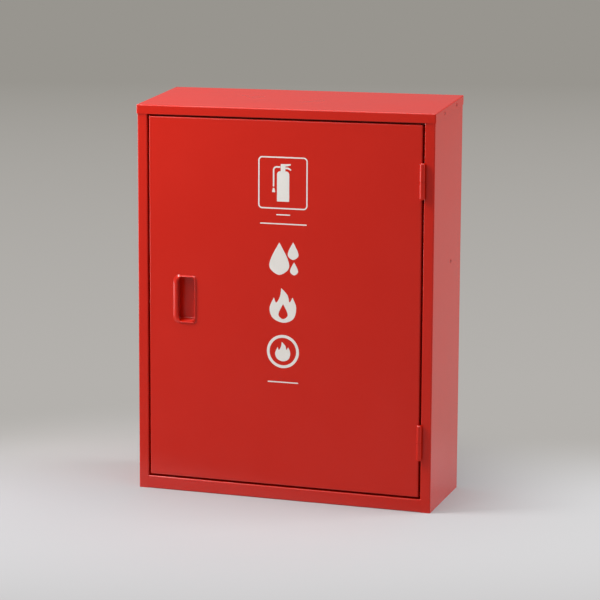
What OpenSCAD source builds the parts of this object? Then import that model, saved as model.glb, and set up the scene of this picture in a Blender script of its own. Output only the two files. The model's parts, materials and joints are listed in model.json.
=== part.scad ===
// Wall or floor standing cabinet for portable extinguishers, in painted folded sheet.
// X runs to the right seen from the front, Y from front to back, Z up.
// The origin is the middle of the underside. The door hangs on the right.

/* [Body] */
// Width over the two side panels
body_w = 470; // [400:5:600]
// Depth from the front frame to the back
body_d = 165; // [140:1:240]
// Height of the roof's front edge
body_h = 600; // [540:5:760]
// How much higher the roof stands at the back
roof_rise = 16; // [6:1:30]
// Thickness of the sheet
sheet = 1.2; // [1:0.1:1.6]
// Inside radius of every fold
bend_in = 0.6; // [0.5:0.1:0.8]
// Height of the roof's turned-down edge
cap_edge = 14; // [11:0.5:20]
// Width of the folds along the back of the side panels
rear_fold = 15; // [10:1:24]
// Height of the folds around the floor
floor_fold = 12; // [8:1:20]

/* [Front frame] */
// Width of the upright jambs beside the door
jamb_w = 16; // [14:0.5:24]
// Height of the rail under the door
rail_h = 20; // [16:1:32]
// Width of the stop that the door closes against
stop_w = 12; // [9:1:15]
// Room between the closed door and its stop
stop_gap = 3; // [2:0.5:5]

/* [Door] */
// Gap around the door
door_gap = 3; // [2.8:0.1:3.6]
// Depth of the folded door
door_d = 16; // [14:1:20]
// Width of the door's inner fold
door_fold = 12; // [10:1:15]

/* [Hinges] */
// Height of the lower hinge's middle
hinge_low = 107.5; // [70:0.5:160]
// Distance of the upper hinge's middle below the roof's front edge
hinge_drop = 100; // [70:0.5:160]
// Length of a hinge
hinge_l = 54; // [40:1:70]
// Diameter of the knuckles
knuckle_d = 8; // [7.5:0.1:9]
// Diameter of the pins
pin_d = 4; // [3:0.5:4.5]
// Thickness of the hinge leaves
leaf_t = 2; // [1.5:0.1:2.2]
// Depth of the hinge leaves behind the front
leaf_w = 13; // [9:1:13]
// Thickness of the bearing ring between the knuckles
ring_t = 0.8; // [0.5:0.1:1.5]

/* [Handle] */
// Width of the handle's rim
handle_w = 38.5; // [34:0.5:50]
// Height of the handle's rim
handle_h = 74.5; // [60:0.5:110]
// Distance from the door's free edge to the rim
handle_in = 39; // [20:1:80]
// Height of the handle's middle
handle_z = 302.5; // [200:0.5:420]
// Depth of the finger pocket
cup_depth = 14; // [10:0.5:20]
// Width of the rim
rim_w = 3; // [2.6:0.1:4]
// How far the rim stands out of the door
rim_out = 2; // [1.5:0.1:2.5]
// Radius of the rim's corners
rim_r = 6; // [5.5:0.5:9]
// Width of the rim beside the grip
grip_w = 8; // [7:0.5:11]
// Radius of the rim's corners beside the grip
grip_r = 9; // [6:0.5:9]
// Width of the web in the pocket's corners beside the grip
web_w = 4; // [2:0.5:6]
// Height of the web in the pocket's corners beside the grip
web_h = 8; // [4:0.5:12]
// Outside radius of the grip's roll
roll_r = 2.6; // [2:0.1:2.8]

/* [Catch] */
// Height of the magnet catch
catch_h = 44; // [36:1:60]
// Width of the magnet catch
catch_w = 14; // [12:1:20]
// Depth of the magnet catch
catch_d = 15; // [12:1:20]
// Diameter of the rubber bumpers
bumper_d = 9; // [6:0.5:10]

/* [Wall fixing] */
// Distance across between the wall bolts
fix_w = 320; // [200:5:360]
// Distance up between the wall bolts
fix_h = 380; // [200:5:420]
// Height of the lower wall bolts
fix_low = 120; // [60:5:160]
// Diameter of the holes for the wall bolts
fix_d = 9; // [6:0.5:12]

/* [Hidden] */
$fn = 48;

red = "#c8352e";
steel = "#b9bcbd";
black = "#26272a";
grey = "#5a5c60";

// How far a cutting shape reaches past the face that it cuts
past = 1;
// Running clearance at pins and bearing faces
play = 0.05;
// Closed end of a knuckle, past its bore
knuckle_end = 3;
// Room left between a pin and the end of the upper bore
pin_room = 1;
// Room left beside the inside of a fold
seam = bend_in + 0.1;
// Slot between two folds that meet at a corner
mitre_gap = 0.8;
// Inside radius at the bottom of the finger pocket
cup_in = 1.5;
// Straight end of the grip's roll, and the radius between it and the webs
roll_end = 1;
web_r = 1;
// Thickness of the strike plate, and the room between it and what it closes against
strike_t = 1.5;
touch = 0.3;
// Wall of the catch's housing, its pole plates, and how far they stand out of it
housing_wall = 2;
pole_t = 1.5;
pole_out = 1;
// How far the catch's bracket stands off the stop's edge, and reaches past the housing
bracket_off = 0.5;
bracket_past = 4;
// Room left along the edge that a plate is laid on
edge_room = 2;
bend_out = bend_in + sheet;
half = sheet / 2;

front_y = -body_d / 2;
back_y = body_d / 2;
// Front face of the back panel, which lies inside the rear folds
back_in = back_y - 2 * sheet;
opening_w = body_w - 2 * jamb_w;
opening_top = body_h - cap_edge;
stop_y = front_y + door_d + stop_gap;

// The roof overlaps the body by its own sheet at the front and the sides
cap_w = body_w + 2 * sheet;
cap_front = front_y - sheet;
cap_d = back_y - cap_front;
slope = atan(roof_rise / cap_d);

door_w = opening_w - 2 * door_gap;
door_low = rail_h + door_gap;
door_top = opening_top - door_gap;
door_back = front_y + door_d;

axis_x = opening_w / 2 - door_gap / 2;
axis_y = front_y - knuckle_d / 2;
hinge_high = body_h - hinge_drop;
// Reach of the bores from the hinge's middle, and their diameter
pin_reach = hinge_l / 2 - knuckle_end;
bore_d = pin_d + 2 * play;
ring_d = knuckle_d - 0.4;

handle_x = -door_w / 2 + handle_in + handle_w / 2;
cup_w = handle_w - 2 * rim_w;
cup_h = handle_h - 2 * rim_w;
cup_r = rim_r - rim_w;
// Radius that brings the rim's edge down to the door
crown_r = (rim_w * rim_w + rim_out * rim_out) / (2 * rim_out);
// The pocket's opening beside the grip, and the middle and height of the grip's roll
grip_edge = -handle_w / 2 + grip_w;
roll_x = grip_edge - roll_r;
roll_h = cup_h - 2 * (web_h + web_r);

// The catch sits beside the left stop, its poles just behind the strike plate
pole_y = door_back + strike_t + touch;
bracket_x = -opening_w / 2 + stop_w + bracket_off;
housing_x = bracket_x + sheet;
catch_low = handle_z - catch_h / 2;

function unit(v) = v / norm(v);

// Centre and two ends of the arc that rounds corner b between a and c
function corner_arc(a, b, c, r) =
    let (u = unit(a - b), v = unit(c - b), half_angle = acos(u * v) / 2, reach = r / tan(half_angle))
    [b + unit(u + v) * r / sin(half_angle), b + u * reach, b + v * reach];

// Convex outline with a radius of its own at each corner, 0 for a sharp one
module rounded_outline(points, radii) {
    n = len(points);
    arcs = [for (i = [0:n - 1]) corner_arc(points[(i + n - 1) % n], points[i], points[(i + 1) % n], radii[i])];
    polygon([for (i = [0:n - 1]) each radii[i] > 0 ? [arcs[i][1], arcs[i][2]] : [points[i]]]);
    for (i = [0:n - 1])
        if (radii[i] > 0)
            translate(arcs[i][0]) circle(radii[i]);
}

// Rectangle from one corner to the opposite one, with all corners rounded
module rounded_box_2d(low, high, r) {
    rounded_outline([low, [high.x, low.y], high, [low.x, high.y]], [r, r, r, r]);
}

// Quarter ring of a fold, in the quadrant that toward points into
module fold_arc(r, toward) {
    reach = r + sheet;
    intersection() {
        difference() {
            circle(r + half);
            circle(r - half);
        }
        polygon([[0, 0], [toward.x * reach, 0], toward * reach, [0, toward.y * reach]]);
    }
}

// Section of a sheet folded by right angles along the line through its middle
module folded(path) {
    r = bend_in + half;
    last = len(path) - 1;
    for (i = [0:last - 1]) {
        run = unit(path[i + 1] - path[i]);
        start = path[i] + (i > 0 ? r : 0) * run;
        end = path[i + 1] - (i < last - 1 ? r : 0) * run;
        side = half * [-run.y, run.x];
        polygon([start - side, end - side, end + side, start + side]);
    }
    for (i = [1:last - 1]) {
        before = unit(path[i] - path[i - 1]);
        after = unit(path[i + 1] - path[i]);
        translate(path[i] + r * (after - before)) fold_arc(r, before - after);
    }
}

// Section drawn in Y and Z, drawn out along X about the middle
module along_x(width) {
    rotate([90, 0, 90]) linear_extrude(width, center = true) children();
}

// Section drawn in X and Z, drawn out along Y between two places
module along_y(from, to) {
    translate([0, to, 0]) rotate([90, 0, 0]) linear_extrude(to - from) children();
}

// Everything from depth below the roof's upper face upwards
module above_roof(depth) {
    translate([0, cap_front, body_h]) rotate([slope, 0, 0])
        translate([-cap_w, -cap_d, -depth]) cube([2 * cap_w, 3 * cap_d, body_h]);
}

// Right-hand side panel with its rear fold, jamb, return and door stop
module side_panel() {
    outer = body_w / 2 - half;
    inner = opening_w / 2 + half;
    difference() {
        linear_extrude(body_h + roof_rise) folded([
            [outer + half - rear_fold, back_y - half],
            [outer, back_y - half],
            [outer, front_y + half],
            [inner, front_y + half],
            [inner, stop_y + half],
            [opening_w / 2 - stop_w, stop_y + half]
        ]);
        above_roof(sheet + seam);
        // The stops of the rail and the header run through between the sides
        translate([0, stop_y - past, -past]) cube([opening_w / 2, sheet + 2 * past, rail_h + stop_w + past]);
        translate([0, stop_y - past, opening_top - stop_w]) cube([opening_w / 2, sheet + 2 * past, body_h]);
        // The roof's rear edge lies where the rear fold would be
        translate([0, back_y - bend_out, body_h + roof_rise - cap_edge - seam]) cube([body_w, body_d, body_h]);
    }
}

module left_side() {
    color(red) mirror([1, 0, 0]) side_panel();
}

module right_side() {
    color(red) side_panel();
}

// Plate between the side panels, in front of their rear folds
module back_panel() {
    width = body_w - 2 * (sheet + seam);
    color(red) difference() {
        translate([-width / 2, back_in, 0]) cube([width, sheet, body_h + roof_rise]);
        above_roof(sheet + seam);
        for (x = [-fix_w / 2, fix_w / 2], z = [fix_low, fix_low + fix_h])
            translate([x, back_y, z]) rotate([90, 0, 0]) cylinder(h = 2 * sheet + past, d = fix_d);
    }
}

// Floor, rail and lower door stop, folded in one piece
module bottom_pan() {
    flange_x = body_w / 2 - sheet - half;
    color(red) {
        along_x(opening_w) folded([
            [stop_y + half, rail_h + stop_w],
            [stop_y + half, rail_h - half],
            [front_y + half, rail_h - half],
            [front_y + half, half],
            [back_in - half, half],
            [back_in - half, floor_fold]
        ]);
        along_y(stop_y + sheet + seam, back_in - bend_out) folded([
            [-flange_x, floor_fold],
            [-flange_x, half],
            [flange_x, half],
            [flange_x, floor_fold]
        ]);
    }
}

// Rail over the door, behind the roof's front edge, with the upper door stop
module header() {
    color(red) along_x(opening_w) folded([
        [stop_y + half, opening_top - stop_w],
        [stop_y + half, opening_top + half],
        [front_y + half, opening_top + half],
        [front_y + half, body_h - sheet - seam]
    ]);
}

// Solid of the roof, moved in by inset from its outer faces
module roof_solid(inset, below, r) {
    low = cap_edge + below;
    drop = inset / cos(slope);
    from = cap_front + inset;
    to = back_y - inset;
    at_from = body_h + inset * tan(slope) - drop;
    at_to = body_h + roof_rise - inset * tan(slope) - drop;
    half_w = cap_w / 2 - inset;
    intersection() {
        along_x(2 * cap_w) rounded_outline(
            [[from, at_from - low], [to, at_to - low], [to, at_to], [from, at_from]],
            [0, 0, r, r]);
        translate([0, cap_front, body_h]) rotate([slope, 0, 0])
            along_y(-cap_d, 2 * cap_d) rounded_outline(
                [[-half_w, -body_h / 2], [half_w, -body_h / 2], [half_w, -inset], [-half_w, -inset]],
                [0, 0, r, r]);
        linear_extrude(2 * body_h) rounded_box_2d([-half_w, from], [half_w, to], r);
    }
}

// Tray with turned-down edges that slopes down to the front
module roof_cap() {
    color(red) difference() {
        roof_solid(0, 0, bend_out);
        roof_solid(sheet, cap_edge, bend_in);
    }
}

// Solid of the door, moved in by inset from its outer faces
module door_solid(inset, r) {
    x = door_w / 2 - inset;
    y = [front_y + inset, door_back - inset];
    z = [door_low + inset, door_top - inset];
    intersection() {
        linear_extrude(2 * body_h) rounded_box_2d([-x, y[0]], [x, y[1]], r);
        along_x(2 * body_w) rounded_box_2d([y[0], z[0]], [y[1], z[1]], r);
    }
}

// Door folded from one sheet, with returns and an inner fold all round
module door_panel() {
    hole_w = cup_w + 2 * (sheet + play);
    hole_h = cup_h + 2 * (sheet + play);
    color(red) difference() {
        door_solid(0, bend_out);
        door_solid(sheet, bend_in);
        translate([-door_w / 2 + door_fold, front_y + door_d / 2, door_low + door_fold])
            cube([door_w - 2 * door_fold, door_d, door_top - door_low - 2 * door_fold]);
        translate([handle_x, 0, handle_z]) along_y(front_y - past, front_y + sheet + past)
            rounded_box_2d([-hole_w / 2, -hole_h / 2], [hole_w / 2, hole_h / 2], cup_r + sheet);
        // The inner folds meet at open mitres
        for (x = [-1, 1], z = [0, 1])
            translate([x * (door_w / 2 - door_fold), door_back, z ? door_top - door_fold : door_low + door_fold])
                rotate([0, x * (z ? -45 : 45), 0]) translate([x * (door_fold - bend_out) / sqrt(2), 0, 0])
                    cube([sqrt(2) * door_fold, 2 * sheet + bend_in, mitre_gap], center = true);
    }
}

// Block lying in X and Z from the plane Y = 0 to a depth, its far edge rounded all round
module pressed_block(w, h, r, depth, edge) {
    turn = depth - edge;
    along_y(0, turn) rounded_box_2d([-w / 2, -h / 2], [w / 2, h / 2], r);
    along_y(0, depth) rounded_box_2d([edge - w / 2, edge - h / 2], [w / 2 - edge, h / 2 - edge], r - edge);
    for (x = [-1, 1], z = [-1, 1])
        translate([x * (w / 2 - r), turn, z * (h / 2 - r)]) rotate([-90, 0, 0])
            rotate_extrude() translate([r - edge, 0]) intersection() {
                circle(edge);
                square(edge);
            }
    for (z = [-1, 1])
        translate([0, turn, z * (h / 2 - edge)]) rotate([0, 90, 0])
            cylinder(h = w - 2 * r, r = edge, center = true);
    for (x = [-1, 1])
        translate([x * (w / 2 - edge), turn, 0]) cylinder(h = h - 2 * r, r = edge, center = true);
}

// Half section of the handle's plate, with its crowned edge at the given reach
module crowned_edge(reach) {
    square([reach - rim_w, rim_out]);
    translate([reach - rim_w, 0]) intersection() {
        translate([0, rim_out - crown_r]) circle(crown_r);
        square([rim_w, rim_out]);
    }
}

// Crowned plate with the pocket's opening, wider on the left, where the grip is
module handle_plate() {
    low = web_h - cup_h / 2;
    color(red) translate([handle_x, front_y, handle_z]) difference() {
        union() {
            for (side = [-1, 1]) {
                r = side < 0 ? grip_r : rim_r;
                linear_extrude(handle_h - 2 * r, center = true) scale([side, -1]) crowned_edge(handle_w / 2);
                for (z = [-1, 1])
                    translate([side * (handle_w / 2 - r), 0, z * (handle_h / 2 - r)])
                        rotate([90, 0, 0]) rotate_extrude() crowned_edge(r);
            }
            for (z = [-1, 1])
                translate([(grip_r - rim_r) / 2, 0, 0]) along_x(handle_w - grip_r - rim_r)
                    scale([1, z]) rotate(90) crowned_edge(handle_h / 2);
        }
        along_y(-rim_out - past, past) rounded_outline(
            [[grip_edge, low], [grip_edge + web_w, -cup_h / 2], [cup_w / 2, -cup_h / 2],
             [cup_w / 2, cup_h / 2], [grip_edge + web_w, cup_h / 2], [grip_edge, -low]],
            [web_r, web_r, cup_r, cup_r, web_r, web_r]);
        translate([roll_x, -rim_out - past, -roll_h / 2]) cube([handle_w / 2, rim_out + 2 * past, roll_h]);
    }
}

// Pressed finger pocket behind the rim
module handle_cup() {
    color(red) translate([handle_x, front_y, handle_z]) difference() {
        pressed_block(cup_w + 2 * sheet, cup_h + 2 * sheet, cup_r + sheet, cup_depth + sheet, cup_in + sheet);
        pressed_block(cup_w, cup_h, cup_r, cup_depth, cup_in);
    }
}

// Rolled lip that the fingers pull on, over the pocket's left side
module handle_grip() {
    color(red) translate([handle_x, front_y, handle_z]) linear_extrude(roll_h, center = true)
        translate([roll_x, roll_r - rim_out]) {
            difference() {
                circle(roll_r);
                circle(roll_r - sheet);
                translate([-2 * roll_r, -2 * roll_r]) square([2 * roll_r, 4 * roll_r]);
            }
            translate([-roll_end, roll_r - sheet]) square([roll_end, sheet]);
        }
}

// Half of a hinge above its middle: closed knuckle over the pin, with its leaf
module hinge_half(from, face) {
    r = knuckle_d / 2;
    chamfer = r / 4;
    top = hinge_l / 2;
    difference() {
        union() {
            rotate_extrude() polygon([[0, from], [r, from], [r, top - chamfer], [r - chamfer, top], [0, top]]);
            translate([face, 0, from]) cube([leaf_t, r + leaf_w, top - chamfer - from]);
        }
        translate([0, 0, -past]) cylinder(h = pin_reach + past, d = bore_d);
    }
}

module hinge_door_leaf(z) {
    color(red) translate([axis_x, axis_y, z])
        hinge_half(ring_t / 2 + 2 * play, -door_gap / 2);
}

module hinge_frame_leaf(z) {
    color(red) translate([axis_x, axis_y, z]) mirror([0, 0, 1])
        hinge_half(ring_t / 2, door_gap / 2 - leaf_t);
}

// Pin that stands in the lower knuckle
module hinge_pin(z) {
    color(steel) translate([axis_x, axis_y, z - pin_reach]) cylinder(h = 2 * pin_reach - pin_room, d = pin_d);
}

module hinge_ring(z) {
    color(red) translate([axis_x, axis_y, z - ring_t / 2]) difference() {
        cylinder(h = ring_t, d = ring_d);
        translate([0, 0, -past]) cylinder(h = ring_t + 2 * past, d = bore_d);
    }
}

module upper_hinge_frame_leaf() { hinge_frame_leaf(hinge_high); }
module upper_hinge_pin() { hinge_pin(hinge_high); }
module upper_hinge_ring() { hinge_ring(hinge_high); }
module upper_hinge_door_leaf() { hinge_door_leaf(hinge_high); }
module lower_hinge_frame_leaf() { hinge_frame_leaf(hinge_low); }
module lower_hinge_pin() { hinge_pin(hinge_low); }
module lower_hinge_ring() { hinge_ring(hinge_low); }
module lower_hinge_door_leaf() { hinge_door_leaf(hinge_low); }

// Angle welded behind the stop
module catch_bracket() {
    lap = stop_w - edge_room;
    from = pole_y + pole_out;
    to = pole_y + catch_d + bracket_past;
    color(red) translate([bracket_x, 0, catch_low]) linear_extrude(catch_h) {
        translate([-lap, stop_y + sheet]) square([lap + sheet, sheet]);
        translate([0, from]) square([sheet, to - from]);
    }
}

module catch_housing() {
    w = catch_w - 2 * housing_wall;
    d = catch_d - pole_out;
    h = catch_h - 2 * housing_wall;
    color(black) translate([housing_x, pole_y + pole_out, catch_low]) difference() {
        cube([catch_w, d, catch_h]);
        translate([housing_wall, -past, housing_wall]) cube([w, d - housing_wall + past, h]);
    }
}

// Block magnet between the two pole plates
module catch_magnet() {
    side = housing_wall + pole_t;
    color(grey) translate([housing_x + side, pole_y + pole_out, catch_low + housing_wall])
        cube([catch_w - 2 * side, catch_d - pole_out - housing_wall, catch_h - 2 * housing_wall]);
}

module catch_poles() {
    color(steel) for (x = [housing_wall, catch_w - housing_wall - pole_t])
        translate([housing_x + x, pole_y, catch_low + housing_wall])
            cube([pole_t, catch_d - housing_wall, catch_h - 2 * housing_wall]);
}

// Plate on the door's inner fold that the magnet holds
module catch_strike() {
    from = -door_w / 2 + edge_room;
    to = housing_x + catch_w;
    color(steel) translate([from, door_back, catch_low]) cube([to - from, strike_t, catch_h]);
}

// Rubber button on the left stop
module bumper(z) {
    x = -opening_w / 2 + (stop_w + door_gap) / 2;
    color(black) translate([x, stop_y, z]) rotate([90, 0, 0]) cylinder(h = stop_gap - touch, d = bumper_d);
}

module upper_bumper() { bumper(hinge_high); }
module lower_bumper() { bumper(hinge_low); }

left_side();
right_side();
back_panel();
bottom_pan();
header();
roof_cap();
door_panel();
handle_plate();
handle_cup();
handle_grip();
upper_hinge_frame_leaf();
upper_hinge_pin();
upper_hinge_ring();
upper_hinge_door_leaf();
lower_hinge_frame_leaf();
lower_hinge_pin();
lower_hinge_ring();
lower_hinge_door_leaf();
catch_bracket();
catch_housing();
catch_magnet();
catch_poles();
catch_strike();
upper_bumper();
lower_bumper();
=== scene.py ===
import json
import math

import bpy
from mathutils import Matrix, Vector


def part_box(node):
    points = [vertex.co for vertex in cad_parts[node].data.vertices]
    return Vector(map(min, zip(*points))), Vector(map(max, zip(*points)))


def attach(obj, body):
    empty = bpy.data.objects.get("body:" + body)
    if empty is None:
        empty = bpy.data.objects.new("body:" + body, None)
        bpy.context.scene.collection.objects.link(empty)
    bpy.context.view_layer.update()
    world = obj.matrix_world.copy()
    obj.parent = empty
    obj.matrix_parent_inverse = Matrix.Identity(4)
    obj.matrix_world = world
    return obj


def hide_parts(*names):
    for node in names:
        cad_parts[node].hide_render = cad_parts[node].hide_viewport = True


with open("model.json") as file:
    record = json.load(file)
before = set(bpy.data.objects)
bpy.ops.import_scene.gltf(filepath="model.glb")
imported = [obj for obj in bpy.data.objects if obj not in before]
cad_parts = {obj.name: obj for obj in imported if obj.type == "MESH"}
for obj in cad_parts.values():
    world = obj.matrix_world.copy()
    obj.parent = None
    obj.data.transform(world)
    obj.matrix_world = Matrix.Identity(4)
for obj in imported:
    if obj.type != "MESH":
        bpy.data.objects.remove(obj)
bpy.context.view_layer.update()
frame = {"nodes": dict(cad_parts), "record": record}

MM = 0.001


# The place and the camera.
# The cabinet stands in a studio, seen from the front right and a little from above
# through a long lens. The camera is worked out for a square picture 600 pixels wide.
scene = bpy.context.scene
scene.view_settings.view_transform = "Standard"

picture_px = 600
focal_px = 2127.0
sensor_mm = 36.0
turn_deg, pitch_deg, roll_deg = 18.244, 8.242, 0.281
target = Vector((0.0, 0.0, 0.300))
across, above, distance = 1.04 * MM, 90.28 * MM, 3294.6 * MM
axis_row_px = 240

turn, pitch, roll = (math.radians(v) for v in (turn_deg, pitch_deg, roll_deg))
back = Vector((math.sin(turn) * math.cos(pitch), -math.cos(turn) * math.cos(pitch), math.sin(pitch)))
level = Vector((math.cos(turn), math.sin(turn), 0.0))
upward = back.cross(level)
right = level * math.cos(roll) + upward * math.sin(roll)
upward = upward * math.cos(roll) - level * math.sin(roll)

bpy.ops.object.camera_add()
camera = bpy.context.object
camera.name = "camera"
camera.data.sensor_width = sensor_mm
camera.data.lens = focal_px / picture_px * sensor_mm
camera.data.shift_y = (axis_row_px - picture_px / 2) / picture_px
camera.matrix_world = Matrix.Translation(
    target + right * across + upward * above + back * distance
) @ Matrix((right, upward, back)).transposed().to_4x4()
scene.camera = camera


# The studio light.
# Two strip boxes stand at the left, one high and one low beside the cabinet. Wide soft
# boxes hang overhead and stand behind the camera and at the right, in a pale room.
def soft_box(name, place, aim, width, height, watts):
    bpy.ops.object.light_add(type="AREA", location=place)
    lamp = bpy.context.object
    lamp.name = name
    lamp.data.shape = "RECTANGLE"
    lamp.data.size = width
    lamp.data.size_y = height
    lamp.data.energy = watts
    lamp.visible_camera = False
    lamp.rotation_mode = "QUATERNION"
    lamp.rotation_quaternion = (Vector(aim) - Vector(place)).to_track_quat("-Z", "Y")
    return lamp


soft_box("left_box", (-1.05, -0.62, 1.42), (0.0, 0.0, 0.3), 0.45, 0.8, 23.0)
soft_box("low_left_box", (-1.30, -0.20, 0.33), (0.0, -0.08, 0.3), 0.5, 0.5, 3.5)
soft_box("top_box", (0.0, -0.15, 1.90), (0.0, 0.0, 0.3), 1.4, 1.0, 14.5)
soft_box("front_box", (-0.85, -1.80, 1.60), (0.0, 0.0, 0.3), 0.8, 1.0, 5.5)
soft_box("right_box", (1.70, 0.45, 1.10), (0.2, 0.0, 0.4), 1.0, 1.3, 18.0)

world = bpy.data.worlds.new("room")
scene.world = world
world.use_nodes = True
world.node_tree.nodes["Background"].inputs["Color"].default_value = (0.8, 0.8, 0.8, 1.0)
world.node_tree.nodes["Background"].inputs["Strength"].default_value = 0.32


# Studio paper.
# One sheet of pale grey paper, laid flat so far out that its end is never seen. Matt
# uncoated stock with a fibre grain that only shows close by. Its colour is darkened towards
# the back as painted fall-off of light, and lightened on the right of the cabinet as painted
# light that lifts its cast shadow. Beyond a small pool round the cabinet it glows for the
# camera and for mirror rays (painted light), and ahead of the cabinet that glow is a dark
# grey which the door shows as a painted reflection.
def linear(text):
    """A colour written as sRGB hex, as the linear values that a shader takes."""
    parts = [int(text[i:i + 2], 16) / 255 for i in (1, 3, 5)]
    return tuple(p / 12.92 if p <= 0.04045 else ((p + 0.055) / 1.055) ** 2.4 for p in parts) + (1.0,)


def add_node(material, kind, settings=None, links=None):
    """Adds a shader node, sets its properties and sockets, and links sockets to it."""
    node = material.node_tree.nodes.new(kind)
    for key, value in (settings or {}).items():
        if isinstance(key, int) or key in node.inputs:
            node.inputs[key].default_value = value
        else:
            setattr(node, key, value)
    for key, output in (links or {}).items():
        material.node_tree.links.new(output, node.inputs[key])
    return node


def new_finish(name, colour, roughness, **values):
    """A Principled material with its plain values, and its shader node."""
    material = bpy.data.materials.new(name)
    material.use_nodes = True
    shader = material.node_tree.nodes["Principled BSDF"]
    shader.inputs["Base Color"].default_value = linear(colour)
    shader.inputs["Roughness"].default_value = roughness
    for key, value in values.items():
        shader.inputs[key.replace("_", " ")].default_value = value
    return material, shader


def wire(material, shader, **outputs):
    for key, output in outputs.items():
        material.node_tree.links.new(output, shader.inputs[key.replace("_", " ")])


paper, shader = new_finish("studio_paper_matt_painted_glow", "#cfcfd0", 0.9)
place = add_node(paper, "ShaderNodeTexCoord")
fibre = add_node(paper, "ShaderNodeTexNoise", {"Scale": 260.0, "Detail": 4.0}, {"Vector": place.outputs["Object"]})
relief = add_node(paper, "ShaderNodeBump", {"Strength": 0.15, "Distance": 0.0002}, {"Height": fibre.outputs["Fac"]})
wire(paper, shader, Normal=relief.outputs["Normal"])

depth = add_node(
    paper, "ShaderNodeVectorMath", {"operation": "DOT_PRODUCT", 1: (-math.sin(turn), math.cos(turn), 0.0)},
    {0: place.outputs["Object"]})
behind = add_node(
    paper, "ShaderNodeMapRange", {"interpolation_type": "SMOOTHSTEP", "From Min": -0.12, "From Max": 0.36, "To Min": 0.0, "To Max": 1.0},
    {"Value": depth.outputs["Value"]})
along = add_node(
    paper, "ShaderNodeVectorMath", {"operation": "DOT_PRODUCT", 1: (math.cos(turn), math.sin(turn), 0.0)},
    {0: place.outputs["Object"]})
rightwards = add_node(
    paper, "ShaderNodeMapRange", {"interpolation_type": "SMOOTHSTEP", "From Min": -0.45, "From Max": 0.40, "To Min": 0.0, "To Max": 1.0},
    {"Value": along.outputs["Value"]})
# Painted light: near the cabinet the paper is darker on the left, where the low left box lights it, and lighter on the
# right, lifting the cabinet's cast shadow there.
shadow_lifting_tone = add_node(
    paper, "ShaderNodeMix", {"data_type": "RGBA", 6: linear("#b1b1b3"), 7: linear("#bebec0")}, {"Factor": rightwards.outputs["Result"]})
# Painted shade: the paper's colour darkens towards the back, standing in for light falling off there.
painted_falloff_tone = add_node(
    paper, "ShaderNodeMix", {"data_type": "RGBA", 7: linear("#aaa8a6")},
    {"Factor": behind.outputs["Result"], 6: shadow_lifting_tone.outputs[2]})
wire(paper, shader, Base_Color=painted_falloff_tone.outputs[2])

# Painted light: beyond a small pool round the cabinet the paper glows in these tones for camera and mirror rays, pale
# in front and greyer behind, so that cast shadows fade out there.
far = add_node(
    paper, "ShaderNodeMapRange", {"From Min": 0.8, "From Max": 9.0, "To Min": 0.0, "To Max": 1.0},
    {"Value": depth.outputs["Value"]})
far_tone = add_node(
    paper, "ShaderNodeMix", {"data_type": "RGBA", 6: linear("#b4b1ad"), 7: linear("#98958f")}, {"Factor": far.outputs["Result"]})
whole_tone = add_node(
    paper, "ShaderNodeMix", {"data_type": "RGBA", 6: linear("#d8d7d8")}, {"Factor": behind.outputs["Result"], 7: far_tone.outputs[2]})
# Painted reflection: the paper far ahead of the cabinet glows a dark grey, which the door's lower part shows in its
# reflection.
ahead = add_node(
    paper, "ShaderNodeMapRange", {"interpolation_type": "SMOOTHSTEP", "From Min": -1.5, "From Max": -0.3, "To Min": 0.0, "To Max": 1.0},
    {"Value": depth.outputs["Value"]})
full_tone = add_node(
    paper, "ShaderNodeMix", {"data_type": "RGBA", 6: linear("#868482")}, {"Factor": ahead.outputs["Result"], 7: whole_tone.outputs[2]})
from_middle = add_node(
    paper, "ShaderNodeVectorMath", {"operation": "SUBTRACT", 1: (-0.12, -0.05, 0.0)}, {0: place.outputs["Object"]})
reach = add_node(paper, "ShaderNodeVectorMath", {"operation": "LENGTH"}, {0: from_middle.outputs["Vector"]})
pool = add_node(
    paper, "ShaderNodeMapRange", {"interpolation_type": "SMOOTHSTEP", "From Min": 0.27, "From Max": 0.66, "To Min": 0.0, "To Max": 1.0},
    {"Value": reach.outputs["Value"]})
seen = add_node(paper, "ShaderNodeLightPath")
# Painted reflection: just in front of the cabinet, rays mirrored by the enamel see the same dark grey, while the camera
# sees the paper lit.
near = add_node(
    paper, "ShaderNodeMapRange", {"interpolation_type": "SMOOTHSTEP", "From Min": -0.2, "From Max": 0.0, "To Min": 1.0, "To Max": 0.0},
    {"Value": depth.outputs["Value"]})
painted_reflection_mask = add_node(
    paper, "ShaderNodeMath", {"operation": "MULTIPLY"}, {0: near.outputs["Result"], 1: seen.outputs["Is Glossy Ray"]})
painted_glow_tone = add_node(
    paper, "ShaderNodeMix", {"data_type": "RGBA", 7: linear("#868482")}, {"Factor": painted_reflection_mask.outputs["Value"], 6: full_tone.outputs[2]})
seen_or_mirrored = add_node(
    paper, "ShaderNodeMath", {"operation": "MAXIMUM"}, {0: seen.outputs["Is Camera Ray"], 1: seen.outputs["Is Glossy Ray"]})
wide = add_node(
    paper, "ShaderNodeMath", {"operation": "MAXIMUM"}, {0: pool.outputs["Result"], 1: painted_reflection_mask.outputs["Value"]})
share = add_node(
    paper, "ShaderNodeMath", {"operation": "MULTIPLY"}, {0: wide.outputs["Value"], 1: seen_or_mirrored.outputs["Value"]})
# The glow is painted light: an emission that stands in for the lit paper.
painted_glow = add_node(paper, "ShaderNodeEmission", {"Strength": 1.0}, {"Color": painted_glow_tone.outputs[2]})
blend = add_node(
    paper, "ShaderNodeMixShader", {}, {0: share.outputs["Value"], 1: shader.outputs["BSDF"], 2: painted_glow.outputs["Emission"]})
paper.node_tree.links.new(blend.outputs["Shader"], paper.node_tree.nodes["Material Output"].inputs["Surface"])

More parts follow.
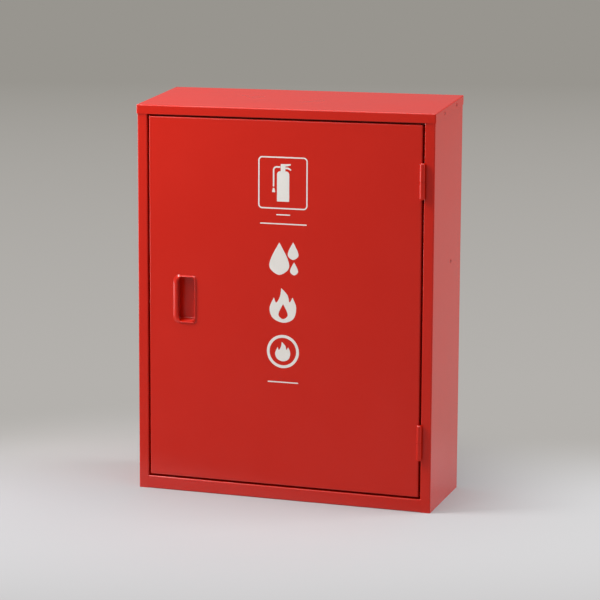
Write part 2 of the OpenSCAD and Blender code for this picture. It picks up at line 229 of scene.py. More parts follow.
bpy.ops.mesh.primitive_plane_add(size=120.0, location=(0.0, 0.0, 0.0))
paper_sheet = bpy.context.object
paper_sheet.name = "studio_floor"
paper_sheet.data.materials.append(paper)


# Folded case and door.
# Sheet steel, sprayed with red gloss enamel after welding and baked. The film is even,
# and the large panels carry the slight wave of thin sheet. The orange peel of 2 mm is
# drawn at 7 mm, as coarse as it needs to be to show.
orange_peel_mm = 7.0
sheet_wave_mm = 120.0
tone_mm = 90.0

enamel, shader = new_finish("baked_enamel_red", "#d01f0a", 0.18, IOR=1.58)
place = add_node(enamel, "ShaderNodeTexCoord")
tone = add_node(enamel, "ShaderNodeTexNoise", {"Scale": 1000 / tone_mm, "Detail": 3.0}, {"Vector": place.outputs["Object"]})
film = add_node(
    enamel, "ShaderNodeMix",
    {"data_type": "RGBA", 6: linear("#cd1c08"), 7: linear("#d31f0a")}, {"Factor": tone.outputs["Fac"]})
gloss = add_node(
    enamel, "ShaderNodeMapRange",
    {"From Min": 0.3, "From Max": 0.7, "To Min": 0.15, "To Max": 0.21}, {"Value": tone.outputs["Fac"]})
wave = add_node(enamel, "ShaderNodeTexNoise", {"Scale": 1000 / sheet_wave_mm, "Detail": 1.0}, {"Vector": place.outputs["Object"]})
wave_relief = add_node(enamel, "ShaderNodeBump", {"Strength": 1.0, "Distance": 0.0002}, {"Height": wave.outputs["Fac"]})
peel = add_node(enamel, "ShaderNodeTexNoise", {"Scale": 1000 / orange_peel_mm, "Detail": 1.0}, {"Vector": place.outputs["Object"]})
peel_relief = add_node(
    enamel, "ShaderNodeBump", {"Strength": 0.5, "Distance": 0.00001},
    {"Height": peel.outputs["Fac"], "Normal": wave_relief.outputs["Normal"]})
wire(enamel, shader, Base_Color=film.outputs[2], Roughness=gloss.outputs["Result"], Normal=peel_relief.outputs["Normal"])


def finish_nodes(slot_name, material):
    """Gives every CAD node of a material slot its finish."""
    for entry in frame["record"]["subparts"]:
        if entry["material_slot"] == slot_name:
            for slot in frame["nodes"][entry["node"]].material_slots:
                slot.material = material


finish_nodes("red_paint", enamel)


# Hinge pins.
# Bright drawn steel, zinc-plated, with fine rings left by turning.
zinc, shader = new_finish("zinc_plated_steel", "#b9bdc1", 0.34, Metallic=1.0)
place = add_node(zinc, "ShaderNodeTexCoord")
grain = add_node(zinc, "ShaderNodeTexNoise", {"Scale": 900.0, "Detail": 3.0}, {"Vector": place.outputs["Object"]})
dull = add_node(zinc, "ShaderNodeMapRange", {"To Min": 0.26, "To Max": 0.46}, {"Value": grain.outputs["Fac"]})
relief = add_node(zinc, "ShaderNodeBump", {"Strength": 0.3, "Distance": 0.00002}, {"Height": grain.outputs["Fac"]})
wire(zinc, shader, Roughness=dull.outputs["Result"], Normal=relief.outputs["Normal"])
finish_nodes("pin_steel", zinc)


# Bearing washers.
# Thin punched washers between the knuckles, a little smaller than these, so that a
# groove shows. They are sprayed over with the hinges.
washer_d, washer_hole = 6.2 * MM, 4.4 * MM


def deselect_all():
    if bpy.context.object and bpy.context.object.mode != "OBJECT":
        bpy.ops.object.mode_set(mode="OBJECT")
    bpy.ops.object.select_all(action="DESELECT")


def edit_mode(kind):
    """Opens the active mesh in edit mode with nothing selected."""
    bpy.ops.object.mode_set(mode="EDIT")
    bpy.ops.mesh.select_mode(type=kind)
    bpy.ops.mesh.select_all(action="DESELECT")


def pick_faces(piece, test):
    """Selects the faces whose centre and normal pass a test."""
    bpy.ops.object.mode_set(mode="OBJECT")
    for face in piece.data.polygons:
        face.select = test(face.center, face.normal)
    bpy.ops.object.mode_set(mode="EDIT")


def pick_edges(piece, test):
    """Selects the edges whose two ends pass a test."""
    bpy.ops.object.mode_set(mode="OBJECT")
    edit_mode("EDGE")
    bpy.ops.object.mode_set(mode="OBJECT")
    for edge in piece.data.edges:
        edge.select = test(*(piece.data.vertices[i].co for i in edge.vertices))
    bpy.ops.object.mode_set(mode="EDIT")


for hinge in ("upper", "lower"):
    low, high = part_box(hinge + "_hinge_ring")
    middle = (low + high) / 2
    deselect_all()
    bpy.ops.mesh.primitive_cylinder_add(vertices=48, radius=washer_d / 2, depth=high.z - low.z, location=(0.0, 0.0, 0.0))
    washer = bpy.context.object
    washer.name = hinge + "_hinge_washer"
    edit_mode("FACE")
    pick_faces(washer, lambda centre, normal: abs(normal.z) > 0.9)
    bpy.ops.mesh.inset(thickness=(washer_d - washer_hole) / 2)
    bpy.ops.mesh.bridge_edge_loops()
    bpy.ops.mesh.select_all(action="SELECT")
    bpy.ops.transform.translate(value=middle)
    bpy.ops.mesh.normals_make_consistent(inside=False)
    pick_edges(washer, lambda a, b: (a - b).z == 0 and min(Vector((end - middle)[:2]).length for end in (a, b)) > 0.45 * washer_d)
    bpy.ops.mesh.bevel(offset=0.2 * MM, segments=3)
    bpy.ops.object.mode_set(mode="OBJECT")
    bpy.ops.object.shade_smooth_by_angle(angle=math.radians(45))
    washer.data.materials.append(enamel)
    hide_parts(hinge + "_hinge_ring")
    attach(washer, "cabinet")


# Weld marks.
# The roof, the rear folds and the hinges are joined by spot welds. Each leaves a round
# dent with a low lip. The dent's floor is painted dark red as painted shade of the dent.
mark_d, mark_lip, mark_sunk = 7.0 * MM, 0.26 * MM, 0.10 * MM

# Painted shade: a darker enamel that stands in for the shade inside the dent.
dent_shade_enamel, shader = new_finish("enamel_painted_dent_shade", "#7d140b", 0.6, IOR=1.4)
place = add_node(dent_shade_enamel, "ShaderNodeTexCoord")
dent_shade_noise = add_node(dent_shade_enamel, "ShaderNodeTexNoise", {"Scale": 500.0, "Detail": 2.0}, {"Vector": place.outputs["Object"]})
dent_shade_tone = add_node(
    dent_shade_enamel, "ShaderNodeMix",
    {"data_type": "RGBA", 6: linear("#6f1009"), 7: linear("#8c170c")}, {"Factor": dent_shade_noise.outputs["Fac"]})
wire(dent_shade_enamel, shader, Base_Color=dent_shade_tone.outputs[2])


deselect_all()
bpy.ops.mesh.primitive_cylinder_add(vertices=32, radius=mark_d / 2, depth=2 * mark_sunk, location=(0.0, 0.0, 0.0))
weld_mark = bpy.context.object
weld_mark.name = "weld_mark"
edit_mode("FACE")
pick_faces(weld_mark, lambda centre, normal: normal.z > 0.9)
bpy.ops.transform.translate(value=(0.0, 0.0, 0.01 * MM - mark_sunk))
bpy.ops.mesh.inset(thickness=0.5 * MM)
bpy.ops.transform.translate(value=(0.0, 0.0, mark_lip))
bpy.ops.mesh.inset(thickness=0.35 * MM)
bpy.ops.mesh.inset(thickness=0.5 * MM)
bpy.ops.transform.translate(value=(0.0, 0.0, -mark_lip * 0.95))
bpy.ops.mesh.inset(thickness=0.5 * MM)
bpy.ops.object.mode_set(mode="OBJECT")
bpy.ops.object.shade_smooth_by_angle(angle=math.radians(50))
weld_mark.data.materials.append(enamel)
weld_mark.data.materials.append(dent_shade_enamel)
# Painted shade: the faces inside the lip take the darker enamel.
for face in weld_mark.data.polygons:
    if face.normal.z > 0 and Vector(face.center[:2]).length < mark_d / 2 - 0.9 * MM:
        face.material_index = 1

case_low, case_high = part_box("right_side")
roof_low, roof_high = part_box("roof_cap")
roof_slope = 16.0 / 166.2
marks = []
for side in (-1, 1):
    for y in (-32.6, 38.8):
        marks.append(("roof", (side * roof_high.x / MM, y, 592.2 + (y + 83.7) * roof_slope), (side, 0, 0), "cabinet"))
    marks.append(("side", (side * case_high.x / MM, 20.4, 367.8), (side, 0, 0), "cabinet"))
    for z in range(40, 590, 90):
        marks.append(("rear", (side * 227.5, case_high.y / MM, z), (0, 1, 0), "cabinet"))
for x in (-165.0, -55.0, 55.0, 165.0):
    marks.append(("roof_rear", (x, roof_high.y / MM, 609.0), (0, 1, 0), "cabinet"))
for hinge in ("upper", "lower"):
    low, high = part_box(hinge + "_hinge_door_leaf")
    for share in (0.3, 0.75):
        z = low.z + (high.z - low.z) * share
        marks.append((hinge + "_door_leaf", (218.0, -75.5, z / MM), (1, 0, 0), "door"))
    low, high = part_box(hinge + "_hinge_frame_leaf")
    for share in (0.25, 0.7):
        z = low.z + (high.z - low.z) * share
        marks.append((hinge + "_frame_leaf", (217.0, -75.5, z / MM), (-1, 0, 0), "cabinet"))


def set_down(model, name, spot_mm, normal, body):
    """A copy of a model that was made around the origin, laid on a face at a place in millimetres."""
    piece = model.copy()
    piece.data = model.data.copy()
    piece.name = name
    bpy.context.collection.objects.link(piece)
    turn_up = Vector(normal).to_track_quat("Z", "Y").to_matrix().to_4x4()
    piece.data.transform(Matrix.Translation(Vector(spot_mm) * MM) @ turn_up)
    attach(piece, body)
    return piece


for number, (where, spot, normal, body) in enumerate(marks):
    set_down(weld_mark, f"weld_mark_{where}_{number:02d}", spot, normal, body)
bpy.data.objects.remove(weld_mark)


# Ground welds.
# The jambs and the rail are welded edge to edge at the two lower corners of the frame.
# The groove of the jamb's fold is filled, ground flush and painted over.
doorway_half, rail_high, fold_out = 219.0 * MM, 20.0 * MM, 1.8 * MM
front_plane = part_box("right_side")[0].y

deselect_all()
bpy.ops.mesh.primitive_cube_add(size=1.0, location=(0.0, 0.0, 0.0))
ground_weld = bpy.context.object
ground_weld.name = "ground_weld"
edit_mode("VERT")
bpy.ops.mesh.select_all(action="SELECT")
bpy.ops.transform.resize(value=(1.1 * fold_out, fold_out, rail_high))
bpy.ops.transform.translate(value=(fold_out / 2, front_plane + fold_out / 2, rail_high / 2))
pick_edges(ground_weld, lambda a, b: max(a.y, b.y) < front_plane + fold_out / 2 and abs(a.z - b.z) < 1 * MM)
bpy.ops.mesh.bevel(offset=0.98 * fold_out, segments=6)
bpy.ops.object.mode_set(mode="OBJECT")
bpy.ops.object.shade_smooth_by_angle(angle=math.radians(40))
ground_weld.data.materials.append(enamel)
for side in ("left", "right"):
    piece = ground_weld.copy()
    piece.data = ground_weld.data.copy()
    piece.name = f"ground_weld_{side}"
    bpy.context.collection.objects.link(piece)
    piece.data.transform(Matrix.Translation((doorway_half if side == "right" else -doorway_half - fold_out, 0.0, 0.0)))
    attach(piece, "cabinet")
bpy.data.objects.remove(ground_weld)


# Rim of the handle.
# A pressed steel frame, sprayed with the door. Its left side is a wide sloping grip that
# rolls into the pocket, the other sides are narrow, and webs fill the two left corners.
rim_points, rim_steps, rim_rise = 240, 18, 2.0
roll_back, lip_back = 3.2, 0.3
rim_low, rim_high = (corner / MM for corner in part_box("handle_plate"))
pocket_low, pocket_high = rim_low + Vector((8.0, 0.0, 3.0)), rim_high - Vector((3.0, 0.0, 3.0))
web_w, web_h = 4.0, 8.0


def rounded(corners):
    """Points along an outline of corners (x, z, radius), each rounded by its radius."""
    points = []
    for i, (x, z, r) in enumerate(corners):
        here = Vector((x, z))
        before = (Vector(corners[i - 1][:2]) - here).normalized()
        after = (Vector(corners[(i + 1) % len(corners)][:2]) - here).normalized()
        if r == 0:
            points.append(here)
            continue
        half = before.angle(after) / 2
        centre = here + (before + after).normalized() * r / math.sin(half)
        reach = r / math.tan(half)
        first, last = here + before * reach - centre, here + after * reach - centre
        span = first.angle_signed(last)
        steps = max(3, int(abs(span) / math.radians(9)))
        for step in range(steps + 1):
            points.append(centre + Matrix.Rotation(-span * step / steps, 2) @ first)
    return points


def spaced(outline, count):
    """Points at even distances along a closed outline."""
    ends = list(zip(outline, outline[1:] + outline[:1]))
    lengths = [(b - a).length for a, b in ends]
    step, walked, points = sum(lengths) / count, 0.0, []
    for (a, b), length in zip(ends, lengths):
        while len(points) < count and len(points) * step <= walked + length:
            points.append(a.lerp(b, (len(points) * step - walked) / length))
        walked += length
    return points


def first_hit(outline, centre, aim):
    """Where a line from the centre towards a point crosses an outline."""
    way = aim - centre
    for a, b in zip(outline, outline[1:] + outline[:1]):
        side = b - a
        turned = way.x * side.y - way.y * side.x
        if abs(turned) > 1e-9:
            along = ((a.x - centre.x) * side.y - (a.y - centre.y) * side.x) / turned
            share = ((a.x - centre.x) * way.y - (a.y - centre.y) * way.x) / turned
            if along > 0 and -1e-6 <= share <= 1 + 1e-6:
                return centre + way * along


rim_outline = spaced(rounded([
    (rim_low.x, rim_low.z, 9), (rim_high.x, rim_low.z, 6), (rim_high.x, rim_high.z, 6), (rim_low.x, rim_high.z, 9)]), rim_points)
pocket_outline = rounded([
    (pocket_low.x, pocket_low.z + web_h, 1), (pocket_low.x + web_w, pocket_low.z, 1),
    (pocket_high.x, pocket_low.z, 3), (pocket_high.x, pocket_high.z, 3),
    (pocket_low.x + web_w, pocket_high.z, 1), (pocket_low.x, pocket_high.z - web_h, 1)])
pocket_middle = Vector(((pocket_low.x + pocket_high.x) / 2, (pocket_low.z + pocket_high.z) / 2))


def crowned(share, crest):
    """Height across the rim, from 0 at both edges to 1 at the crest: round inside, a straight slope outside."""
    if share < crest:
        return math.sqrt(1 - (1 - share / crest) ** 2)
    out, bend = (share - crest) / (1 - crest), 0.25
    steep = 1 / (1 - bend / 2)
    return 1 - steep * out ** 2 / (2 * bend) if out < bend else steep * (1 - out)


verts, faces = [], []
for outer in rim_outline:
    inner = first_hit(pocket_outline, pocket_middle, outer)
    on_grip = max(0.0, min(1.0, (pocket_low.x + 1.5 - inner.x) / 1.5))
    back_reach = lip_back + (roll_back - lip_back) * on_grip
    crest = 0.38
    section = [(0.06, back_reach), (0.0, 0.7 * back_reach)]
    for step in range(rim_steps + 1):
        share = (step / rim_steps) ** 1.5
        section.append((share, -rim_rise * crowned(share, crest)))
    for share, y in section:
        spot = inner.lerp(outer, share)
        verts.append((spot.x * MM, (rim_high.y + y) * MM, spot.y * MM))
count = rim_steps + 3
for i in range(rim_points):
    for j in range(count):
        here, there = i * count, (i + 1) % rim_points * count
        faces.append((here + j, here + (j + 1) % count, there + (j + 1) % count, there + j))
rim_mesh = bpy.data.meshes.new("handle_rim")
rim_mesh.from_pydata(verts, [], faces)
rim = bpy.data.objects.new("handle_rim", rim_mesh)
bpy.context.collection.objects.link(rim)
deselect_all()
rim.select_set(True)
bpy.context.view_layer.objects.active = rim
edit_mode("FACE")
bpy.ops.mesh.select_all(action="SELECT")
bpy.ops.mesh.normals_make_consistent(inside=False)
bpy.ops.object.mode_set(mode="OBJECT")
bpy.ops.object.shade_smooth_by_angle(angle=math.radians(60))
rim_mesh.materials.append(enamel)
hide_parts("handle_plate", "handle_grip")
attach(rim, "door")


# Finger pocket.
# Drawn in one piece from thin sheet and welded behind the rim. Its lower wall leans in
# towards the back, as the punch leaves it.
pocket_depth, pocket_sheet = 14.0, 1.2
cup_low, cup_high = Vector((rim_low.x + 3.0, rim_high.y, rim_low.z + 3.0)), Vector((rim_high.x - 3.0, rim_high.y + pocket_depth, rim_high.z - 3.0))

deselect_all()
bpy.ops.mesh.primitive_cube_add(size=1.0, location=(0.0, 0.0, 0.0))
pocket = bpy.context.object
pocket.name = "handle_pocket"
edit_mode("VERT")
bpy.ops.mesh.select_all(action="SELECT")
bpy.ops.transform.resize(value=(cup_high - cup_low) * MM)
bpy.ops.transform.translate(value=(cup_low + cup_high) / 2 * MM)
bpy.ops.object.mode_set(mode="OBJECT")
for vert in pocket.data.vertices:
    if vert.co.y > (cup_low.y + pocket_depth / 2) * MM:
        left, bottom = vert.co.x < (cup_low.x + 5) * MM, vert.co.z < (cup_low.z + 5) * MM
        vert.co.x += (0.2 if left else -0.2) * MM
        vert.co.z += (2.8 if bottom else -0.2) * MM
pick_edges(pocket, lambda a, b: abs(a.y - b.y) > 5 * MM)
bpy.ops.mesh.bevel(offset=3.0 * MM, segments=6)
bpy.ops.mesh.select_mode(type="FACE")
pick_faces(pocket, lambda centre, normal: normal.y > 0.9)
bpy.ops.mesh.bevel(offset=1.8 * MM, segments=5, affect="EDGES")
pick_faces(pocket, lambda centre, normal: normal.y < -0.99)
bpy.ops.mesh.delete(type="FACE")
bpy.ops.object.mode_set(mode="OBJECT")
wall = pocket.modifiers.new("wall", "SOLIDIFY")
wall.thickness = pocket_sheet * MM
wall.offset = 1.0
bpy.ops.object.modifier_apply(modifier="wall")
bpy.ops.object.shade_smooth_by_angle(angle=math.radians(40))
pocket.data.materials.append(enamel)
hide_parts("handle_cup")
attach(pocket, "door")


# Printed signs on the door.
# White screen ink, a few hundredths of a millimetre thick. A framed pictogram stands over
# two rules, three plain symbols follow down the middle, and a rule ends the row.
ink_t = 0.05 * MM
door_low, door_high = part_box("door_panel")
front_y = door_low.y

ink, shader = new_finish("screen_ink_white", "#efebe4", 0.42)
place = add_node(ink, "ShaderNodeTexCoord")
mesh_print = add_node(ink, "ShaderNodeTexNoise", {"Scale": 700.0, "Detail": 2.0}, {"Vector": place.outputs["Object"]})
cover = add_node(
    ink, "ShaderNodeMix",
    {"data_type": "RGBA", 6: linear("#ece6df"), 7: linear("#f2efe9")}, {"Factor": mesh_print.outputs["Fac"]})
relief = add_node(ink, "ShaderNodeBump", {"Strength": 0.4, "Distance": 0.00001}, {"Height": mesh_print.outputs["Fac"]})
wire(ink, shader, Base_Color=cover.outputs[2], Normal=relief.outputs["Normal"])


def print_sign(name, *outlines):
    """A flat patch of ink on the door, from outlines in X and Z in millimetres. Inner ones stay bare."""
    flat = bpy.data.curves.new(name, "CURVE")
    flat.dimensions = "2D"
    flat.fill_mode = "BOTH"
    flat.extrude = ink_t / 2
    for outline in outlines:
        line = flat.splines.new("POLY")
        line.points.add(len(outline) - 1)
        for point, (x, z) in zip(line.points, outline):
            point.co = (x * MM, z * MM, 0.0, 1.0)
        line.use_cyclic_u = True
    piece = bpy.data.objects.new(name, flat)
    bpy.context.collection.objects.link(piece)
    deselect_all()
    bpy.context.view_layer.objects.active = piece
    piece.select_set(True)
    bpy.ops.object.convert(target="MESH")
    piece = bpy.context.object
    piece.data.transform(Matrix.Translation((0.0, front_y - ink_t / 2, 0.0)) @ Matrix.Rotation(math.radians(90), 4, "X"))
    edit_mode("FACE")
    bpy.ops.mesh.select_all(action="SELECT")
    bpy.ops.mesh.normals_make_consistent(inside=False)
    bpy.ops.object.mode_set(mode="OBJECT")
    piece.data.materials.clear()
    piece.data.materials.append(ink)
    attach(piece, "door")
    return piece


def ring_points(x, z, r, count=64):
    return [(x + r * math.cos(a), z + r * math.sin(a)) for a in (2 * math.pi * i / count for i in range(count))]


def smooth_points(knots, steps=10):
    """Points along a closed smooth line through knots (x, z, sharp). A sharp knot is a tip."""
    count = len(knots)
    at = [Vector(knot[:2]) for knot in knots]
    points = []
    for i in range(count):
        p0, p1, p2, p3 = at[i - 1], at[i], at[(i + 1) % count], at[(i + 2) % count]
        leave = (p2 - p1) * 0.6 if knots[i][2] else (p2 - p0) / 2
        arrive = (p2 - p1) * 0.6 if knots[(i + 1) % count][2] else (p3 - p1) / 2
        for step in range(steps):
            t = step / steps
            points.append(
                p1 * (2 * t ** 3 - 3 * t ** 2 + 1) + leave * (t ** 3 - 2 * t ** 2 + t)
                + p2 * (3 * t ** 2 - 2 * t ** 3) + arrive * (t ** 3 - t ** 2))
    return points


def flame(x, z, size):
    """Outline of a flame that stands on (x, z)."""
    knots = [
        (0.02, 0.0, False), (-0.30, 0.12, False), (-0.40, 0.40, False), (-0.27, 0.72, True),
        (-0.20, 0.57, False), (-0.09, 0.75, False), (-0.05, 1.0, True), (0.14, 0.80, False),
        (0.20, 0.60, False), (0.29, 0.74, True), (0.40, 0.46, False), (0.32, 0.13, False)]
    return smooth_points([(x + size * kx, z + size * kz, tip) for kx, kz, tip in knots])


def drop(x, z, r):
    """Outline of a drop with its round part about (x, z)."""
    knots = [(0.0, 2.1, True), (-0.83, 0.55, False), (-0.92, -0.4, False), (0.0, -1.0, False), (0.92, -0.4, False), (0.83, 0.55, False)]
    return smooth_points([(x + r * kx, z + r * kz, tip) for kx, kz, tip in knots])


print_sign(
    "sign_frame",
    rounded([(-38.8, 449.2, 6.5), (39.4, 449.2, 6.5), (39.4, 528.3, 6.5), (-38.8, 528.3, 6.5)]),
    rounded([(-36.8, 451.2, 4.5), (37.4, 451.2, 4.5), (37.4, 526.3, 4.5), (-36.8, 526.3, 4.5)]))
print_sign("sign_bottle", rounded([(-9.0, 460.6, 0.8), (10.4, 460.6, 0.8), (10.4, 506.4, 5.0), (-9.0, 506.4, 5.0)]))
print_sign("sign_valve", rounded([(-3.2, 506.2, 0), (4.2, 506.2, 0), (4.2, 517.4, 0.8), (-3.2, 517.4, 0.8)]))
print_sign("sign_upper_lever", rounded([(4.0, 513.6, 0), (12.7, 515.6, 0.6), (12.7, 517.9, 0.6), (4.0, 517.4, 0)]))
print_sign("sign_lower_lever", rounded([(4.0, 509.9, 0), (8.6, 509.9, 3), (12.6, 507.4, 0.5), (13.6, 509.2, 0.5), (9.4, 512.3, 4), (4.0, 512.6, 0)]))
print_sign("sign_hose", rounded([(-3.8, 513.9, 0), (-15.6, 513.9, 6), (-15.6, 483.0, 0), (-13.2, 483.0, 0), (-13.2, 511.5, 3.6), (-3.8, 511.5, 0)]))
print_sign("sign_nozzle", rounded([(-15.4, 480.9, 0.4), (-17.0, 474.4, 0.5), (-11.6, 474.4, 0.5), (-13.2, 480.9, 0.4)]))

rule_t = 1.8
for name, low_x, high_x, z in (
        ("sign_short_rule", -10.0, 12.0, 440.6), ("sign_long_rule", -35.6, 38.4, 426.7), ("sign_end_rule", -23.0, 26.0, 184.0)):
    r = rule_t / 2 - 0.05
    print_sign(name, rounded([(low_x, z - rule_t / 2, r), (high_x, z - rule_t / 2, r), (high_x, z + rule_t / 2, r), (low_x, z + rule_t / 2, r)]))

print_sign("sign_drop_large", drop(-5.0, 365.0, 16.0))
print_sign("sign_drop_upper", drop(17.0, 381.5, 8.6))
print_sign("sign_drop_lower", drop(18.6, 356.0, 6.4))
print_sign("sign_flame", flame(1.0, 276.0, 53.0), drop(1.4, 289.0, 7.4))
print_sign("sign_ring", ring_points(1.3, 231.5, 25.6), ring_points(1.3, 231.5, 21.2))
print_sign("sign_small_flame", flame(1.0, 216.5, 30.0))


# Magnet catch.
# A black moulded housing with a ferrite block between two steel plates. The mould leaves
# rounded edges and an open mouth towards the door.
plastic, shader = new_finish("black_abs_moulded", "#1d1e20", 0.42)
place = add_node(plastic, "ShaderNodeTexCoord")
spark = add_node(plastic, "ShaderNodeTexNoise", {"Scale": 1400.0, "Detail": 2.0}, {"Vector": place.outputs["Object"]})
matt = add_node(plastic, "ShaderNodeMapRange", {"To Min": 0.36, "To Max": 0.5}, {"Value": spark.outputs["Fac"]})
relief = add_node(plastic, "ShaderNodeBump", {"Strength": 0.5, "Distance": 0.00003}, {"Height": spark.outputs["Fac"]})
wire(plastic, shader, Roughness=matt.outputs["Result"], Normal=relief.outputs["Normal"])
finish_nodes("black_plastic", plastic)

ferrite, shader = new_finish("sintered_ferrite", "#47494d", 0.6)
place = add_node(ferrite, "ShaderNodeTexCoord")
grains = add_node(ferrite, "ShaderNodeTexNoise", {"Scale": 1600.0, "Detail": 5.0}, {"Vector": place.outputs["Object"]})
speck = add_node(
    ferrite, "ShaderNodeMix",
    {"data_type": "RGBA", 6: linear("#3c3e42"), 7: linear("#55575b")}, {"Factor": grains.outputs["Fac"]})
wire(ferrite, shader, Base_Color=speck.outputs[2])
finish_nodes("magnet", ferrite)

housing_low, housing_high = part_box("catch_housing")
housing_wall, housing_round = 2.0 * MM, 1.6 * MM
housing_size = housing_high - housing_low

deselect_all()
bpy.ops.mesh.primitive_cube_add(size=1.0, location=(0.0, 0.0, 0.0))
housing = bpy.context.object
housing.name = "catch_housing_moulded"
edit_mode("VERT")
bpy.ops.mesh.select_all(action="SELECT")
bpy.ops.transform.resize(value=housing_size)
bpy.ops.transform.translate(value=(housing_low + housing_high) / 2)
pick_faces(housing, lambda centre, normal: normal.y < -0.9)
bpy.ops.mesh.inset(thickness=housing_wall)
bpy.ops.mesh.extrude_region_move(TRANSFORM_OT_translate={"value": (0.0, housing_size.y - housing_wall, 0.0)})
pick_edges(housing, lambda *ends: all(
    min(abs(end.x - housing_low.x), abs(end.x - housing_high.x)) < 0.01 * MM
    and min(abs(end.z - housing_low.z), abs(end.z - housing_high.z)) < 0.01 * MM
    or abs(end.y - housing_high.y) < 0.01 * MM for end in ends))
bpy.ops.mesh.bevel(offset=housing_round, segments=4)
bpy.ops.object.mode_set(mode="OBJECT")
bpy.ops.object.shade_smooth_by_angle(angle=math.radians(35))
housing.data.materials.append(plastic)
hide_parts("catch_housing")
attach(housing, "cabinet")


# Screws of the catch.
# Two zinc-plated pan-head screws with a cross recess go through the bracket into the
# housing.
screw_d, screw_h, recess_w = 5.6 * MM, 2.0 * MM, 0.9 * MM

deselect_all()
bpy.ops.mesh.primitive_cylinder_add(vertices=32, radius=screw_d / 2, depth=screw_h, location=(0.0, 0.0, screw_h / 2))
screw = bpy.context.object
screw.name = "pan_head"
bpy.ops.object.transform_apply(location=True)
edit_mode("FACE")
pick_faces(screw, lambda centre, normal: normal.z > 0.9)
bpy.ops.mesh.bevel(offset=0.8 * MM, segments=5, affect="EDGES")
bpy.ops.object.mode_set(mode="OBJECT")
for across_x in (True, False):
    deselect_all()
    bpy.ops.mesh.primitive_cube_add(size=1.0, location=(0.0, 0.0, screw_h))
    bit = bpy.context.object
    long, wide = 0.62 * screw_d, recess_w
    bit.dimensions = (long, wide, 1.5 * MM) if across_x else (wide, long, 1.5 * MM)
    deselect_all()
    screw.select_set(True)
    bpy.context.view_layer.objects.active = screw
    recess = screw.modifiers.new("recess", "BOOLEAN")
    recess.operation = "DIFFERENCE"
    recess.object = bit
    bpy.ops.object.modifier_apply(modifier="recess")
    bpy.data.objects.remove(bit)
bpy.ops.object.shade_smooth_by_angle(angle=math.radians(35))
screw.data.materials.clear()
screw.data.materials.append(zinc)
bracket_low, bracket_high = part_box("catch_bracket")
bracket_leg_x = housing_low.x - 1.2 * MM
for name, lift in (("upper", 12.0), ("lower", -12.0)):
    spot = (bracket_leg_x / MM, (housing_low.y + housing_high.y) / 2 / MM, (bracket_low.z + bracket_high.z) / 2 / MM + lift)
    set_down(screw, f"catch_screw_{name}", spot, (-1, 0, 0), "cabinet")
bpy.data.objects.remove(screw)


# Rivets of the strike plate.
# Two flat-headed aluminium rivets hold the plate to the door's inner fold.
rivet_d, rivet_h = 5.0 * MM, 0.8 * MM

aluminium, shader = new_finish("drawn_aluminium", "#c9cbcc", 0.4, Metallic=1.0)
place = add_node(aluminium, "ShaderNodeTexCoord")
dents = add_node(aluminium, "ShaderNodeTexNoise", {"Scale": 800.0, "Detail": 3.0}, {"Vector": place.outputs["Object"]})
dull = add_node(aluminium, "ShaderNodeMapRange", {"To Min": 0.32, "To Max": 0.5}, {"Value": dents.outputs["Fac"]})
relief = add_node(aluminium, "ShaderNodeBump", {"Strength": 0.3, "Distance": 0.00002}, {"Height": dents.outputs["Fac"]})
wire(aluminium, shader, Roughness=dull.outputs["Result"], Normal=relief.outputs["Normal"])

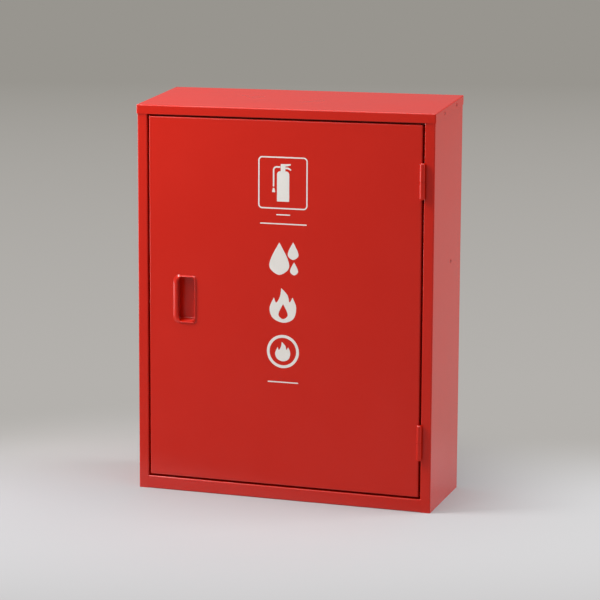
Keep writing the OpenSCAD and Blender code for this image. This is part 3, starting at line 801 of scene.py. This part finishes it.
deselect_all()
bpy.ops.mesh.primitive_cylinder_add(vertices=32, radius=rivet_d / 2, depth=rivet_h, location=(0.0, 0.0, rivet_h / 2))
rivet = bpy.context.object
rivet.name = "rivet_head"
bpy.ops.object.transform_apply(location=True)
edit_mode("FACE")
pick_faces(rivet, lambda centre, normal: normal.z > 0.9)
bpy.ops.mesh.bevel(offset=0.55 * MM, segments=4, affect="EDGES")
pick_faces(rivet, lambda centre, normal: normal.z > 0.99 and centre.z > rivet_h - 0.01 * MM)
bpy.ops.mesh.inset(thickness=0.9 * MM)
bpy.ops.mesh.inset(thickness=0.15 * MM)
bpy.ops.transform.translate(value=(0.0, 0.0, -0.3 * MM))
bpy.ops.object.mode_set(mode="OBJECT")
bpy.ops.object.shade_smooth_by_angle(angle=math.radians(35))
rivet.data.materials.append(aluminium)
strike_low, strike_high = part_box("catch_strike")
for name, lift in (("upper", 14.0), ("lower", -14.0)):
    spot = ((strike_low.x + 4.5 * MM) / MM, strike_high.y / MM, (strike_low.z + strike_high.z) / 2 / MM + lift)
    set_down(rivet, f"strike_rivet_{name}", spot, (0, 1, 0), "door")
bpy.data.objects.remove(rivet)


# Rubber bumpers.
# Moulded buttons of black rubber with a domed face and the small sunk mark of the mould's
# gate, pushed into the left door stop.
rubber, shader = new_finish("black_rubber_moulded", "#202123", 0.72)
place = add_node(rubber, "ShaderNodeTexCoord")
bloom = add_node(rubber, "ShaderNodeTexNoise", {"Scale": 500.0, "Detail": 4.0}, {"Vector": place.outputs["Object"]})
dusty = add_node(
    rubber, "ShaderNodeMix",
    {"data_type": "RGBA", 6: linear("#1c1d1f"), 7: linear("#2b2c2e")}, {"Factor": bloom.outputs["Fac"]})
wire(rubber, shader, Base_Color=dusty.outputs[2])
finish_nodes("black_rubber", rubber)

button_low, button_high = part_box("upper_bumper")
button_d, button_h = button_high.x - button_low.x, button_high.y - button_low.y

deselect_all()
bpy.ops.mesh.primitive_cylinder_add(vertices=40, radius=button_d / 2, depth=button_h, location=(0.0, 0.0, button_h / 2))
button = bpy.context.object
button.name = "rubber_button"
bpy.ops.object.transform_apply(location=True)
edit_mode("FACE")
pick_faces(button, lambda centre, normal: normal.z > 0.9)
bpy.ops.mesh.bevel(offset=1.3 * MM, segments=6, affect="EDGES")
pick_faces(button, lambda centre, normal: normal.z > 0.99 and centre.z > button_h - 0.01 * MM)
bpy.ops.mesh.inset(thickness=1.7 * MM)
bpy.ops.mesh.inset(thickness=0.3 * MM)
bpy.ops.transform.translate(value=(0.0, 0.0, -0.35 * MM))
bpy.ops.object.mode_set(mode="OBJECT")
bpy.ops.object.shade_smooth_by_angle(angle=math.radians(45))
button.data.materials.append(rubber)
for name in ("upper", "lower"):
    low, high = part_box(name + "_bumper")
    spot = ((low.x + high.x) / 2 / MM, high.y / MM, (low.z + high.z) / 2 / MM)
    piece = set_down(button, f"{name}_bumper_button", spot, (0, -1, 0), "cabinet")
    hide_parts(name + "_bumper")
bpy.data.objects.remove(button)
